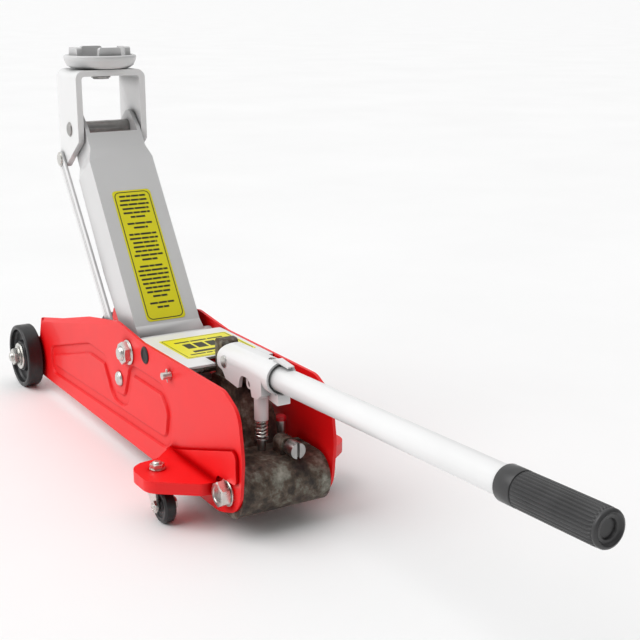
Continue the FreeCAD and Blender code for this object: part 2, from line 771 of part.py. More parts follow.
def lift_arm():
    """Channel-section arm: a web on top and two deep flanges that narrow at the bracket."""
    half, top, sheet_t = size("arm_half"), size("ear_half"), size("arm_sheet")
    side = new_body("arm_side")
    pad(side, "XZ", arm_outer_side(), "200", middle=True)
    plan = new_body("arm_plan")
    pad(plan, "XY", arm_plan(half, top), "200", middle=True)
    outer = joined("arm_outer", "Part::Common", [side, plan])
    hollow = new_body("arm_hollow")
    inner = polygon([
        (60, 60), (-WEB_START, 60), (-WEB_START, web_height(WEB_START, sheet_t)),
        (-WEB_END, web_height(WEB_END, sheet_t)), (-WEB_END, 60),
        (-400, 60), (-400, -90), (60, -90),
    ])
    pad(hollow, "XZ", inner, "200", middle=True)
    plan_inner = new_body("arm_plan_inner")
    pad(plan_inner, "XY", arm_plan(half - sheet_t, top - sheet_t), "300", middle=True)
    hollow_in = joined("arm_inner", "Part::Common", [hollow, plan_inner])
    shell = joined("arm_shell", "Part::Cut", [outer, hollow_in])
    drill = new_body("arm_drill")
    holes = [
        circle(0, 0, 17.1),
        circle(-size("arm_length"), 0, size("bracket_pin_rad") + size("running")),
        circle(-size("lug_s"), size("lug_n"), size("ram_pin_rad") + 0.02),
    ]
    pad(drill, "XZ", [holes[0]], "200", middle=True)
    pad(drill, "XZ", [holes[1]], "200", middle=True)
    pad(drill, "XZ", [holes[2]], "200", middle=True)
    arm = joined("lift_arm", "Part::Cut", [shell, drill])
    return at_arm(arm)


def arm_trimmings():
    half = size("plate_face") - size("plate_thick") - 0.4
    bush = new_body("arm_pivot_bush")
    ring = [circle(0, 0, 17.0), circle(0, 0, size("pivot_rad") + size("running"))]
    pad(bush, "XZ", ring, "%g" % (2 * half), middle=True)
    at_arm(bush)
    pin_end = size("arm_half") + 1.5
    pin = shaft("ram_pin", [(size("ram_pin_rad"), -pin_end, pin_end)])
    place(pin, "$ram_pin_x", "0", "$ram_pin_z", *ALONG_Y)
    label = new_body("arm_label")
    slope = math.degrees(math.atan2(WEB_HIGH - WEB_LOW, WEB_END - WEB_START))
    pad(label, "XY", rounded([(-30, -25, 5), (-202, -25, 5), (-202, 25, 5), (-30, 25, 5)]), "0.3")
    base = web_height(0) + 0.005
    place(label, "$pivot_x + %.8f * sin($arm_angle)" % base, "0",
          "$pivot_z + %.8f * cos($arm_angle)" % base, Y_AXIS, "$arm_angle + %.8f" % slope)
    return bush, pin, label


# ---------------------------------------------------------------- saddle bracket

def at_bracket(thing, along=None):
    """Place a piece drawn with the bracket pin at its origin."""
    if along is None:
        return place(thing, "$bracket_x", "0", "$bracket_z")
    return place(thing, "$bracket_x", "0", "$bracket_z", *along)


def saddle_bracket():
    """Bent strap in the shape of an upside-down U, with feet that reach the links."""
    half, thick, rise = size("bracket_half"), size("bracket_thick"), size("bracket_rise")
    front, rear = size("bracket_front"), size("bracket_rear")
    back, down = size("link_back"), size("link_down")
    bend = new_body("bracket_bend")
    inner = half - thick
    outer_path = rounded([(-half, -60, 0), (half, -60, 0), (half, rise, 11), (-half, rise, 11)])
    inner_path = rounded([
        (-inner, -70, 0), (inner, -70, 0), (inner, rise - thick, 4), (-inner, rise - thick, 4),
    ])
    pad(bend, "YZ", outer_path, "120", middle=True)
    pocket(bend, "YZ", inner_path)
    side = new_body("bracket_side")
    foot = 8.0
    profile = rounded([
        (-front, rise, 0), (rear, rise, 0), (rear, -13, 6), (back + 8, down - 9, 7),
        (back - foot, down - foot, 7.8), (back - foot, down + 10, 6), (-front, down + 22, 8),
    ])
    pad(side, "XZ", profile, "100", middle=True)
    blank = joined("bracket_blank", "Part::Common", [bend, side])
    drill = new_body("bracket_drill")
    pad(drill, "XZ", [circle(0, 0, size("bracket_pin_rad") + 0.02)], "100", middle=True)
    pad(drill, "XZ", [circle(back, down, size("link_rad") + 0.15)], "100", middle=True)
    pad(drill, "XY", [circle(SADDLE_X, 0, 10 + size("running"))], "40", "$bracket_rise - 20")
    bracket = joined("saddle_bracket", "Part::Cut", [blank, drill])
    return at_bracket(bracket)


def bracket_pin():
    end = size("bracket_half") + 0.3
    body = shaft("bracket_pin", [
        (7.5, -end - 1.2, -end), (size("bracket_pin_rad"), -end, end), (7.5, end, end + 1.2),
    ])
    return at_bracket(body, along=ALONG_Y)


def saddle_parts():
    """Shallow cup with a rounded lip and four lugs, turning on its own post, and its clip."""
    rim, rise, thick = size("saddle_rad"), size("saddle_rise"), size("bracket_thick")
    floor = 6.5
    cup = turned("saddle_cup", [
        (0, -thick - 5.2), (10, -thick - 5.2), (10, -thick - 3.6), (8, -thick - 3.6),
        (8, -thick - 2), (10, -thick - 2), (10, 0.3), (rim - 17, 0.3), (rim - 9, 1.2),
        (rim - 4, 4), (rim - 0.8, rise - 6.5), (rim, rise - 3), (rim - 0.6, rise - 1),
        (rim - 2.2, rise), (rim - 4.4, rise), (rim - 6, rise - 1), (rim - 6.8, rise - 3),
        (rim - 9, rise - 6), (rim - 13, floor), (0, floor),
    ])
    lugs = []
    for quarter in range(4):
        lug = new_body("saddle_lug_%d" % quarter)
        pad(lug, "YZ", rounded([
            (-16, floor - 1, 0), (16, floor - 1, 0), (13.5, rise + 9.5, 3), (-13.5, rise + 9.5, 3),
        ]), "7", "%g" % (rim - 17))
        place(lug, axis=Z_AXIS, angle="%g" % (90 * quarter))
        lugs.append(lug)
    saddle = joined("saddle", "Part::MultiFuse", [cup] + lugs)
    at_bracket_offset(saddle)
    clip = turned("saddle_clip", [
        (8.01, -thick - 3.6), (12, -thick - 3.6), (12, -thick - 2), (8.01, -thick - 2),
    ])
    at_bracket_offset(clip)
    return saddle, clip


SADDLE_X = -3.5


def at_bracket_offset(thing):
    """Place a piece drawn on the saddle's axis, with its base on the bracket's top."""
    return place(thing, "$bracket_x + %g" % SADDLE_X, "0", "$bracket_z + $bracket_rise")


# ---------------------------------------------------------------- links

def link_strap(name):
    """Flat strap from the link bolt to the bracket's foot."""
    strip = new_body(name)
    length = size("arm_length")
    holes = [
        circle(0, 0, size("link_rad") + size("running")),
        circle(-length, 0, size("link_rad") + 0.02),
    ]
    pad(strip, "XZ", strap(length, 9.3), "$link_thick")
    for hole in holes:
        pocket(strip, "XZ", [hole])
    place(strip, "$link_x", "-$link_inner", "$link_z", Y_AXIS,
          "$arm_angle")
    return strip


def link_pin(name):
    inner = size("bracket_half") - size("bracket_thick")
    outer = size("link_inner") + size("link_thick")
    body = shaft(name, [
        (size("link_rad"), inner + 0.5, outer), (9, outer, outer + 1.2),
        (7.5, outer + 1.2, outer + 2.0),
    ])
    return place(body, "$bracket_x + $link_back", "0", "$bracket_z + $link_down", X_AXIS, "90")


# ---------------------------------------------------------------- handle

ROLLER_U, ROLLER_W, ROLLER_RAD = 50.4, -13.2, 6.5
SCREW_U, SCREW_RAD = 76.0, 4.0
MOUTH_RAD = 15.3


def at_socket(thing):
    """Place a piece drawn with the socket pivot at its origin and the handle along +X."""
    return place(thing, "$socket_x", "0", "$socket_z", Y_AXIS, "-$handle_angle")


def socket_shell():
    """Round tube behind, open hood with two cheeks in front, arched along the lower edge."""
    outer, rear, front, skirt = size("socket_rad"), 94.0, -16.0, -27.0
    shell = new_body("socket_shell")
    crown = outer - 0.01
    hood = rounded([
        (-outer, skirt, 0), (outer, skirt, 0), (outer, outer, crown), (-outer, outer, crown),
    ])
    pad(shell, "YZ", hood, "98", "%g" % front)
    pad(shell, "YZ", [circle(0, 0, outer)], "%g" % (rear - 44), "44")
    side = new_body("socket_side")
    profile = rounded([
        (front, -7, 5), (-4, -10, 5), (3, -18, 4), (32, -22, 3), (37, -6, 9), (57, -6, 9),
        (61, -24, 2), (73, -24, 5), (80, -outer - 1, 8), (rear, -outer - 1, 0),
        (rear, outer + 1, 0), (front, outer + 1, 16),
    ])
    pad(side, "XZ", profile, "60", middle=True)
    return joined("socket_blank", "Part::Common", [shell, side])


def socket_tabs():
    """Tongue above the tube's end, stop tab below it and the two lugs that hold the roller."""
    rear = 94.0
    tabs = new_body("socket_tabs")
    tongue = rounded([
        (82, 14.5, 0), (rear, 14.5, 0), (rear, 16.8, 0), (rear + 20, 15.2, 0.6),
        (rear + 20, 17.2, 0.6), (rear - 4, 20.5, 3), (82, 18, 4),
    ])
    pad(tabs, "XZ", tongue, "7", middle=True)
    stop = rounded([
        (rear - 18, -14.5, 0), (rear + 4, -14.5, 2), (rear + 4, -27, 2), (rear - 18, -24, 3),
    ])
    pad(tabs, "XZ", stop, "14", middle=True)
    lugs = new_body("roller_lugs")
    lug = rounded([
        (ROLLER_U - 7, ROLLER_W - 5.6, 5.5), (ROLLER_U + 7, ROLLER_W - 5.6, 5.5),
        (ROLLER_U + 7, 6, 0), (ROLLER_U - 7, 6, 0),
    ])
    pad(lugs, "XZ", lug, "28", middle=True)
    pocket(lugs, "XZ", polygon([(30, -40), (70, -40), (70, 40), (30, 40)]), "17", middle=True)
    return tabs, lugs


def handle_socket():
    """Pressed socket: the shell and its tabs, bored for the tube, the pins and the screw."""
    tabs, lugs = socket_tabs()
    body = joined("socket_body", "Part::MultiFuse", [socket_shell(), tabs])
    core = new_body("socket_core")
    inner = size("tube_rad") + 0.6
    pad(core, "YZ", [circle(0, 0, size("tube_rad") + 0.02)], "200", "40")
    pad(core, "YZ", [circle(0, 0, inner)], "80", "-20")
    pad(core, "YZ", [circle(0, 0, MOUTH_RAD)], "60", "87")
    pad(core, "YZ", polygon([(-inner, -40), (inner, -40), (inner, 0), (-inner, 0)]), "80", "-20")
    hollow = joined("socket_hollow", "Part::Cut", [body, core])
    whole = joined("socket_whole", "Part::MultiFuse", [hollow, lugs])
    drill = new_body("socket_drill")
    pad(drill, "XZ", [circle(0, 0, SOCKET_PIN_RAD + size("running"))], "60", middle=True)
    pad(drill, "XZ", [circle(ROLLER_U, ROLLER_W, 3.0 + size("running"))], "60", middle=True)
    pad(drill, "XY", [circle(SCREW_U, 0, SCREW_RAD + 0.02)], "20", "8")
    socket = joined("handle_socket", "Part::Cut", [whole, drill])
    return at_socket(socket)


def socket_fittings():
    """Roller that presses the plunger down, and the screw that holds the tube."""
    pin_end = size("tube_rad") + 0.5
    seed = shaft("press_roller_blank", [
        (3.0, -pin_end, -8.2), (ROLLER_RAD, -8.2, 8.2), (3.0, 8.2, pin_end),
    ])
    place(seed, "%g" % ROLLER_U, "0", "%g" % ROLLER_W, *ALONG_Y)
    roller = joined("press_roller", "Part::Compound", [seed])
    at_socket(roller)
    low = size("tube_rad") + 0.01
    screw = turned("handle_screw_blank", [
        (0, low), (SCREW_RAD, low), (SCREW_RAD, low + 3.6), (2.0, low + 3.6), (2.0, low + 1.6),
        (0, low + 1.6),
    ])
    place(screw, "%g" % SCREW_U)
    held = joined("handle_screw", "Part::Compound", [screw])
    at_socket(held)
    return roller, held


def handle_parts():
    start, end = 62.0, size("handle_end")
    grip_start, grip = size("grip_start"), size("grip_rad")
    bore = size("tube_rad") + 0.02
    tube = turned("handle_tube_blank", [
        (11, start), (size("tube_rad"), start), (size("tube_rad"), end - 4), (11, end - 4),
    ])
    place(tube, axis=Y_AXIS, angle="90")
    handle = joined("handle_tube", "Part::Compound", [tube])
    at_socket(handle)
    sleeve = turned("handle_grip_blank", [
        (bore, grip_start), (grip - 1, grip_start), (grip, grip_start + 2),
        (grip, end - 2), (grip - 2, end), (9, end), (9, end - 1.5), (5, end - 3),
        (0, end - 3), (0, end - 3.98), (bore, end - 3.98),
    ])
    place(sleeve, axis=Y_AXIS, angle="90")
    handle_grip = joined("handle_grip", "Part::Compound", [sleeve])
    at_socket(handle_grip)
    return handle, handle_grip


# ---------------------------------------------------------------- wheels

def front_wheel(name):
    """Solid wheel with a dished outer face and a boss."""
    width, rad = size("wheel_width"), size("axle_z")
    near = size("plate_face") + size("wheel_gap")
    bore = size("journal_rad") + size("running")
    body = turned(name, [
        (bore, near - size("wheel_gap") + 0.3), (14, near - size("wheel_gap") + 0.3),
        (16, near), (19, near + 4), (rad - 8, near + 4), (rad - 5, near),
        (rad - 1.5, near), (rad, near + 1.5), (rad, near + width - 1.5),
        (rad - 1.5, near + width), (rad - 5, near + width), (rad - 7, near + width - 8),
        (17, near + width - 9), (15, near + width - 2), (bore, near + width - 2),
    ])
    return place(body, "$axle_x", "0", "$axle_z", X_AXIS, "90")


def castor_fork(name):
    """Swivelling fork: a crown over the wheel and two legs that trail behind the swivel."""
    body = new_body(name)
    top, trail = size("ear_top") - 3.5, size("trail")
    half, sheet_t = size("castor_width") / 2 + 1.2, 2.2
    crown = top - 2.5
    side = rounded([
        (-13, crown, 6), (-8, 32, 8), (trail - 7, size("castor_rad") - 8, 7.5),
        (trail + 8, size("castor_rad") - 8, 7.5), (15, 36, 10), (15, crown, 6),
    ])
    pad(body, "XZ", side, "%g" % (2 * (half + sheet_t)), middle=True)
    gap = polygon([(-60, -5), (60, -5), (60, crown - 3.2), (-60, crown - 3.2)])
    pocket(body, "XZ", gap, "%g" % (2 * half), middle=True)
    pocket(body, "XZ", [circle(trail, size("castor_rad"), 3.02)])
    pocket(body, "XY", [circle(0, 0, 5.02)])
    return body


def castor_parts(side):
    fork = castor_fork(side + "_castor_fork")
    place(fork, "$castor_x", "-$castor_y")
    top = size("ear_top")
    crown = top - 6.0
    stem = shaft(side + "_castor_stem", [
        (7, crown - 7.5, crown - 3.3), (5.0, crown - 3.3, top + 0.2), (8.5, top + 0.2, top + 6),
        (5, top + 6, top + 9),
    ])
    place(stem, "$castor_x", "-$castor_y")
    wide = size("castor_width") / 2
    wheel = turned(side + "_castor_wheel", [
        (3.05, -wide), (8, -wide), (9, -wide + 1.5), (13, -wide + 1.5), (14, -wide),
        (size("castor_rad") - 1.5, -wide), (size("castor_rad"), -wide + 1.5),
        (size("castor_rad"), wide - 1.5), (size("castor_rad") - 1.5, wide), (14, wide),
        (13, wide - 1.5), (9, wide - 1.5), (8, wide), (3.05, wide),
    ])
    place(wheel, "$castor_x + $trail", "-$castor_y", "$castor_rad", *ALONG_Y)
    end = wide + 3.5
    axle = shaft(side + "_castor_axle", [
        (5.5, -end - 3.5, -end), (3.0, -end, end), (5.5, end, end + 3.5),
    ])
    place(axle, "$castor_x + $trail", "-$castor_y", "$castor_rad", *ALONG_Y)
    return fork, stem, wheel, axle


# ---------------------------------------------------------------- return springs

def return_springs():
    """Two coil springs that pull the ram pin back, as hooked rods inside a coil's shape."""
    y, wire, coil = 31.0, 1.2, 4.5
    run_x, run_z = SPRING_ROD_X - size("ram_pin_x"), SPRING_ROD_Z - size("ram_pin_z")
    length = math.hypot(run_x, run_z)
    rod_hook, pin_hook = SPRING_ROD_RAD + wire + 0.3, size("ram_pin_rad") + wire + 0.3
    tail = turned("spring_coil", [
        (coil - 1.6, 16), (coil, 16), (coil, length - 16), (coil - 1.6, length - 16),
    ])
    core = shaft("spring_core", [
        (wire, pin_hook, 14), (coil - 1.4, 14, 18), (wire, 18, length - 18),
        (coil - 1.4, length - 18, length - 14), (wire, length - 14, length - rod_hook),
    ])
    hooks = []
    for name, radius, height in (("pin_hook", pin_hook, 0), ("rod_hook", rod_hook, length)):
        ring = doc.addObject("Part::Torus", name)
        ring.Radius1 = radius
        ring.Radius2 = wire
        ring.Placement = FreeCAD.Placement(V(0, 0, height), FreeCAD.Rotation(X_AXIS, 90))
        hooks.append(ring)
    spring = joined("spring_whole", "Part::MultiFuse", [tail, core] + hooks)
    turn = math.degrees(math.atan2(run_x, run_z))
    place(spring, "$ram_pin_x", "%g" % -y, "$ram_pin_z", Y_AXIS, "%.8f" % turn)
    return group("return_springs", [spring])


# ---------------------------------------------------------------- assembly

def both_sides(stem, make):
    """A left piece and its mirror image on the right."""
    left = make("left_" + stem)
    return [left, mirrored("right_" + stem, left)]


def all_castor_parts():
    left = castor_parts("left")
    pieces = list(left)
    for piece in left:
        pieces.append(mirrored(piece.Label.replace("left", "right"), piece))
    return pieces


def build_all():
    nodes = both_sides("side_plate", side_plate)
    nodes += both_sides("castor_bracket", castor_bracket)
    nodes.append(front_axle())
    nodes.append(axle_nuts())
    nodes += arm_pivot()
    nodes.append(link_bolts())
    nodes += spring_rod()
    nodes.append(hole_plugs())
    nodes += [cover_plate(), cover_label()]
    casting = pump_body()
    valve_tower(casting)
    pocket(casting, "YZ", [circle(VALVE_Y, VALVE_Z, VALVE_RAD + size("running"))], "14",
           "%g" % VALVE_X)
    nodes.append(casting)
    nodes += cylinder_parts()
    nodes.append(body_bolts())
    nodes.append(pump_sleeve())
    nodes += plunger_parts()
    nodes += filler_parts()
    nodes += release_parts()
    nodes.append(socket_pivot_pin())
    nodes += ram_parts()
    nodes.append(lift_arm())
    nodes += arm_trimmings()
    nodes.append(return_springs())
    nodes += [saddle_bracket(), bracket_pin()]
    nodes += saddle_parts()
    nodes += both_sides("link", link_strap)
    nodes += both_sides("link_pin", link_pin)
    nodes.append(handle_socket())
    nodes += socket_fittings()
    nodes += handle_parts()
    nodes += both_sides("front_wheel", front_wheel)
    nodes += all_castor_parts()
    return nodes


def check(nodes):
    """Stop before anything is written if an object failed or a shape isn't sound."""
    for thing in doc.Objects:
        if "Invalid" in thing.State or "Error" in thing.State:
            raise RuntimeError(thing.Label + " failed: " + str(thing.State))
    labels = [node.Label for node in nodes]
    if len(set(labels)) != len(labels):
        raise RuntimeError("two sub-parts share a name")
    for node in nodes:
        if node.Shape.isNull() or not node.Shape.isValid() or not node.Shape.Solids:
            raise RuntimeError(node.Label + " has no sound shape")


def main():
    nodes = build_all()
    doc.recompute()
    check(nodes)
    os.makedirs("parts", exist_ok=True)
    for node in nodes:
        node.Shape.exportStep("parts/%s.step" % node.Label)
    print(len(nodes), "sub-parts")


main()
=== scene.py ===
"""Looks of a trolley jack with its arm raised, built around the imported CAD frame."""
import json
import math
import random

import bpy
from mathutils import Matrix, Vector


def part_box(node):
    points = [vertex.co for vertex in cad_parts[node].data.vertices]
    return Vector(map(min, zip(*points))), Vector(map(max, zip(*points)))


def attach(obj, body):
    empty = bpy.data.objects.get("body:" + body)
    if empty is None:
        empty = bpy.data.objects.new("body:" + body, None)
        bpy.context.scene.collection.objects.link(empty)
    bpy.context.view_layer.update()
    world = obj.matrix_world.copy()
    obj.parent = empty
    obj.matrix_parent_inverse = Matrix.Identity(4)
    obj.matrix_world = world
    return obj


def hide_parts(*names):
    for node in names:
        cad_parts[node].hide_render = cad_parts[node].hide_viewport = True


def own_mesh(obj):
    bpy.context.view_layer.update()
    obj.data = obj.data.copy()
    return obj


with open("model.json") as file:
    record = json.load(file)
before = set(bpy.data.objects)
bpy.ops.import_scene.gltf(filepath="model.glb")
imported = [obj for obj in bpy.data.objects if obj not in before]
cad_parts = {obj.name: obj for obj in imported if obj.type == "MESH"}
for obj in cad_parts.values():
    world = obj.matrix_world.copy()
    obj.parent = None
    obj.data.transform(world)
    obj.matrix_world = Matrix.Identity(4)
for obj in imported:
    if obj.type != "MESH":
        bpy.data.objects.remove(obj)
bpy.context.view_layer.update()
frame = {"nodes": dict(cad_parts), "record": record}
MM = 0.001
SIDES = (("left", -1), ("right", 1))


# ---------------------------------------------------------------- places from the frame

def middle(node):
    """Centre of a CAD node's box."""
    low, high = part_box(node)
    return (low + high) / 2


def extent(node):
    """Size of a CAD node's box."""
    low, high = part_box(node)
    return high - low


# ---------------------------------------------------------------- mesh helpers

def new_object(name, vertices, faces, sharp=35):
    """Smooth-shaded object, with edges sharper than this angle in degrees left hard."""
    mesh = bpy.data.meshes.new(name)
    mesh.from_pydata([tuple(v) for v in vertices], [], faces)
    mesh.validate()
    mesh.shade_smooth()
    mesh.set_sharp_from_angle(angle=math.radians(sharp))
    piece = bpy.data.objects.new(name, mesh)
    bpy.context.collection.objects.link(piece)
    return piece


def basis(origin, axis, side=None):
    """Matrix whose Z runs along axis and whose X lies nearest to side."""
    z = Vector(axis).normalized()
    x = Vector(side) if side is not None else z.orthogonal()
    x = (x - z * x.dot(z)).normalized()
    y = z.cross(x)
    turn = Matrix((x, y, z)).transposed().to_4x4()
    return Matrix.Translation(Vector(origin)) @ turn


def grid_faces(rows, columns, first=0):
    """Quads of a closed ring of columns, from one row to the next."""
    faces = []
    for i in range(rows - 1):
        for j in range(columns):
            following = (j + 1) % columns
            a = first + i * columns
            faces.append((a + j, a + following, a + columns + following, a + columns + j))
    return faces


def surface(name, rings, place, closed=False, caps=True, sharp=35):
    """Surface through rings of (radius, angle, height) points, each ring closed on itself."""
    columns = len(rings[0])
    vertices = []
    for ring in rings:
        for radius, angle, height in ring:
            local = Vector((radius * math.cos(angle), radius * math.sin(angle), height))
            vertices.append(place @ local)
    faces = grid_faces(len(rings), columns)
    if closed:
        last = (len(rings) - 1) * columns
        for j in range(columns):
            following = (j + 1) % columns
            faces.append((last + j, last + following, following, j))
    elif caps:
        faces.append(tuple(reversed(range(columns))))
        faces.append(tuple(range((len(rings) - 1) * columns, len(rings) * columns)))
    return new_object(name, vertices, faces, sharp)


def lathe(name, profile, place, segments=72, closed=False, sharp=35):
    """Turned piece from a (radius, height) profile in millimetres."""
    rings = []
    for radius, height in profile:
        ring = []
        for j in range(segments):
            ring.append((radius * MM, math.tau * j / segments, height * MM))
        rings.append(ring)
    return surface(name, rings, place, closed, True, sharp)


def softened(profile, radius, steps=4):
    """Profile with each inner corner rounded by an arc of at most this radius."""
    out = [profile[0]]
    for before, corner, after in zip(profile, profile[1:], profile[2:]):
        a, c, b = Vector(before), Vector(corner), Vector(after)
        reach = min(radius, (a - c).length * 0.45, (b - c).length * 0.45)
        start = c + (a - c).normalized() * reach
        end = c + (b - c).normalized() * reach
        for k in range(steps + 1):
            t = k / steps
            out.append(tuple(start * (1 - t) ** 2 + c * 2 * t * (1 - t) + end * t ** 2))
    out.append(profile[-1])
    return out


def tube(name, points, radius, segments=10, closed=False):
    """Round wire along a smooth list of points, with flat ends."""
    count = len(points)
    rings = []
    normal = None
    for i in range(count):
        ahead = points[(i + 1) % count] if closed or i < count - 1 else points[i]
        behind = points[i - 1] if closed or i > 0 else points[i]
        run = (ahead - behind).normalized()
        normal = run.orthogonal() if normal is None else normal - run * normal.dot(run)
        normal.normalize()
        across = run.cross(normal)
        ring = []
        for j in range(segments):
            turn = math.tau * j / segments
            ring.append(points[i] + (normal * math.cos(turn) + across * math.sin(turn)) * radius)
        rings.append(ring)
    vertices = [v for ring in rings for v in ring]
    faces = grid_faces(count, segments)
    if not closed:
        faces.append(tuple(reversed(range(segments))))
        faces.append(tuple(range((count - 1) * segments, count * segments)))
    return new_object(name, vertices, faces)


def joined(name, pieces):
    """One object from several, with the first one's material slots kept in order."""
    bpy.ops.object.select_all(action="DESELECT")
    for piece in pieces:
        piece.select_set(True)
    bpy.context.view_layer.objects.active = pieces[0]
    bpy.ops.object.join()
    pieces[0].name = name
    return pieces[0]


def finish_piece(piece, body, paint, slot_name, *nodes):
    """Material, ride and replaced nodes of one piece."""
    piece.data.materials.clear()
    piece.data.materials.append(paint)
    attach(piece, body)
    if nodes:
        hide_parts(*nodes)
    return piece


def bevelled(piece, width, segments=3, angle=30):
    """Round a hard-edged piece's edges a little, as made edges are."""
    weld = piece.modifiers.new("Weld", "WELD")
    weld.merge_threshold = 0.00001
    bevel = piece.modifiers.new("Bevel", "BEVEL")
    bevel.width = width * MM
    bevel.segments = segments
    bevel.limit_method = "ANGLE"
    bevel.angle_limit = math.radians(angle)
    bevel.harden_normals = True
    bevel.use_clamp_overlap = True
    return piece


# ---------------------------------------------------------------- materials

def shader(name):
    """New material: itself, its node tree and its one surface shader."""
    mat = bpy.data.materials.new(name)
    mat.use_nodes = True
    tree = mat.node_tree
    tree.nodes.clear()
    out = tree.nodes.new("ShaderNodeOutputMaterial")
    skin = tree.nodes.new("ShaderNodeBsdfPrincipled")
    tree.links.new(skin.outputs["BSDF"], out.inputs["Surface"])
    return mat, tree, skin


def noise(tree, scale, detail=4.0, roughness=0.55):
    """Noise in the row frame, with its scale per metre."""
    place = tree.nodes.new("ShaderNodeTexCoord")
    texture = tree.nodes.new("ShaderNodeTexNoise")
    texture.inputs["Scale"].default_value = scale
    texture.inputs["Detail"].default_value = detail
    texture.inputs["Roughness"].default_value = roughness
    tree.links.new(place.outputs["Object"], texture.inputs["Vector"])
    return texture.outputs["Fac"]


def ramp(tree, value, stops):
    """Colour ramp through (position, colour) stops."""
    node = tree.nodes.new("ShaderNodeValToRGB")
    elements = node.color_ramp.elements
    while len(elements) < len(stops):
        elements.new(0.5)
    for element, (position, colour) in zip(elements, stops):
        element.position = position
        element.color = (*colour, 1)
    tree.links.new(value, node.inputs["Fac"])
    return node.outputs["Color"]


def spread(tree, value, low, high, span=(0.3, 0.7)):
    """Map a value's span, such as a noise's 0.3 to 0.7, onto a range of plain numbers."""
    node = tree.nodes.new("ShaderNodeMapRange")
    node.inputs["From Min"].default_value = span[0]
    node.inputs["From Max"].default_value = span[1]
    node.inputs["To Min"].default_value = low
    node.inputs["To Max"].default_value = high
    tree.links.new(value, node.inputs["Value"])
    return node.outputs["Result"]


def bump(tree, skin, layers):
    """Stack bumps of (height, strength, distance in mm)."""
    normal = None
    for height, strength, distance in layers:
        node = tree.nodes.new("ShaderNodeBump")
        node.inputs["Strength"].default_value = strength
        node.inputs["Distance"].default_value = distance * MM
        tree.links.new(height, node.inputs["Height"])
        if normal is not None:
            tree.links.new(normal, node.inputs["Normal"])
        normal = node.outputs["Normal"]
    tree.links.new(normal, skin.inputs["Normal"])


def shade(colour, factor):
    """Colour made darker or paler by a factor."""
    return tuple(min(1.0, c * factor) for c in colour)


def mottled(tree, value, colour, variation):
    """Colour that grows darker and paler by this share along a noise."""
    stops = [(0.3, shade(colour, 1 - variation)), (0.7, shade(colour, 1 + variation))]
    return ramp(tree, value, stops)


def paint(name, colour, rough, coat, variation, peel=0.12):
    """Sprayed enamel: slow tone changes, fine orange peel and a clear gloss."""
    mat, tree, skin = shader(name)
    tone = mottled(tree, noise(tree, 14.0, 3.0), colour, variation)
    tree.links.new(tone, skin.inputs["Base Color"])
    tree.links.new(spread(tree, noise(tree, 60.0), *rough), skin.inputs["Roughness"])
    skin.inputs["Coat Weight"].default_value = coat
    skin.inputs["Coat Roughness"].default_value = 0.07
    if peel:
        bump(tree, skin, [(noise(tree, 900.0, 2.0), peel, 0.02)])
    return mat


def paint_crevice_shade(mat, reach, gloss, darkest_shade):
    """Painted shade: darken the paint's colour and dull its gloss within reach (mm) of a pressed
    channel or a seam, as far as ambient occlusion finds the surface hemmed in.
    """
    tree = mat.node_tree
    skin = tree.nodes["Principled BSDF"]
    # Ambient occlusion drives painted shade: the more hemmed in the surface, the darker and duller
    # it is painted.
    occlusion = tree.nodes.new("ShaderNodeAmbientOcclusion")
    occlusion.inputs["Distance"].default_value = reach * MM
    openness = occlusion.outputs["AO"]
    # Painted shade on the reflections: the specular level falls in crevices.
    level = spread(tree, openness, 0.0, gloss, (0.72, 0.97))
    tree.links.new(level, skin.inputs["Specular IOR Level"])
    # Painted shade on the colour: the base colour is scaled darker in crevices, down to the darkest
    # share given.
    painted_shade = tree.nodes.new("ShaderNodeVectorMath")
    painted_shade.operation = "SCALE"
    tree.links.new(skin.inputs["Base Color"].links[0].from_socket, painted_shade.inputs[0])
    tree.links.new(spread(tree, openness, darkest_shade, 1.0, (0.55, 0.95)), painted_shade.inputs["Scale"])
    tree.links.new(painted_shade.outputs["Vector"], skin.inputs["Base Color"])


def metal(name, colour, rough):
    """Plated or machined steel with faint grain and dull patches."""
    mat, tree, skin = shader(name)
    tree.links.new(mottled(tree, noise(tree, 90.0, 5.0), colour, 0.12), skin.inputs["Base Color"])
    skin.inputs["Metallic"].default_value = 1.0
    tree.links.new(spread(tree, noise(tree, 160.0, 5.0), *rough), skin.inputs["Roughness"])
    bump(tree, skin, [(noise(tree, 900.0, 3.0, 0.6), 0.12, 0.05)])
    return mat


def moulded(name, colour, rough, grain):
    """Moulded plastic or rubber with a fine matt grain."""
    mat, tree, skin = shader(name)
    slow = noise(tree, 40.0)
    stops = [(0.3, shade(colour, 0.8)), (0.7, shade(colour, 1.25))]
    tree.links.new(ramp(tree, slow, stops), skin.inputs["Base Color"])
    tree.links.new(spread(tree, noise(tree, 120.0), *rough), skin.inputs["Roughness"])
    bump(tree, skin, [(noise(tree, 1400.0, 2.0), grain, 0.06)])
    return mat


def casting(name):
    """Oily raw casting: dark brown scale, rust specks and paler grey rubbed patches."""
    mat, tree, skin = shader(name)
    big = noise(tree, 55.0, 8.0, 0.65)
    stops = [
        (0.30, (0.016, 0.013, 0.011)), (0.42, (0.050, 0.038, 0.030)),
        (0.51, (0.120, 0.090, 0.066)), (0.58, (0.20, 0.19, 0.155)), (0.72, (0.40, 0.39, 0.33)),
    ]
    tree.links.new(ramp(tree, big, stops), skin.inputs["Base Color"])
    skin.inputs["Metallic"].default_value = 0.35
    tree.links.new(spread(tree, noise(tree, 130.0, 6.0), 0.38, 0.75), skin.inputs["Roughness"])
    bump(tree, skin, [
        (noise(tree, 120.0, 6.0, 0.7), 0.7, 1.0), (noise(tree, 600.0, 4.0, 0.7), 0.5, 0.3),
    ])
    return mat


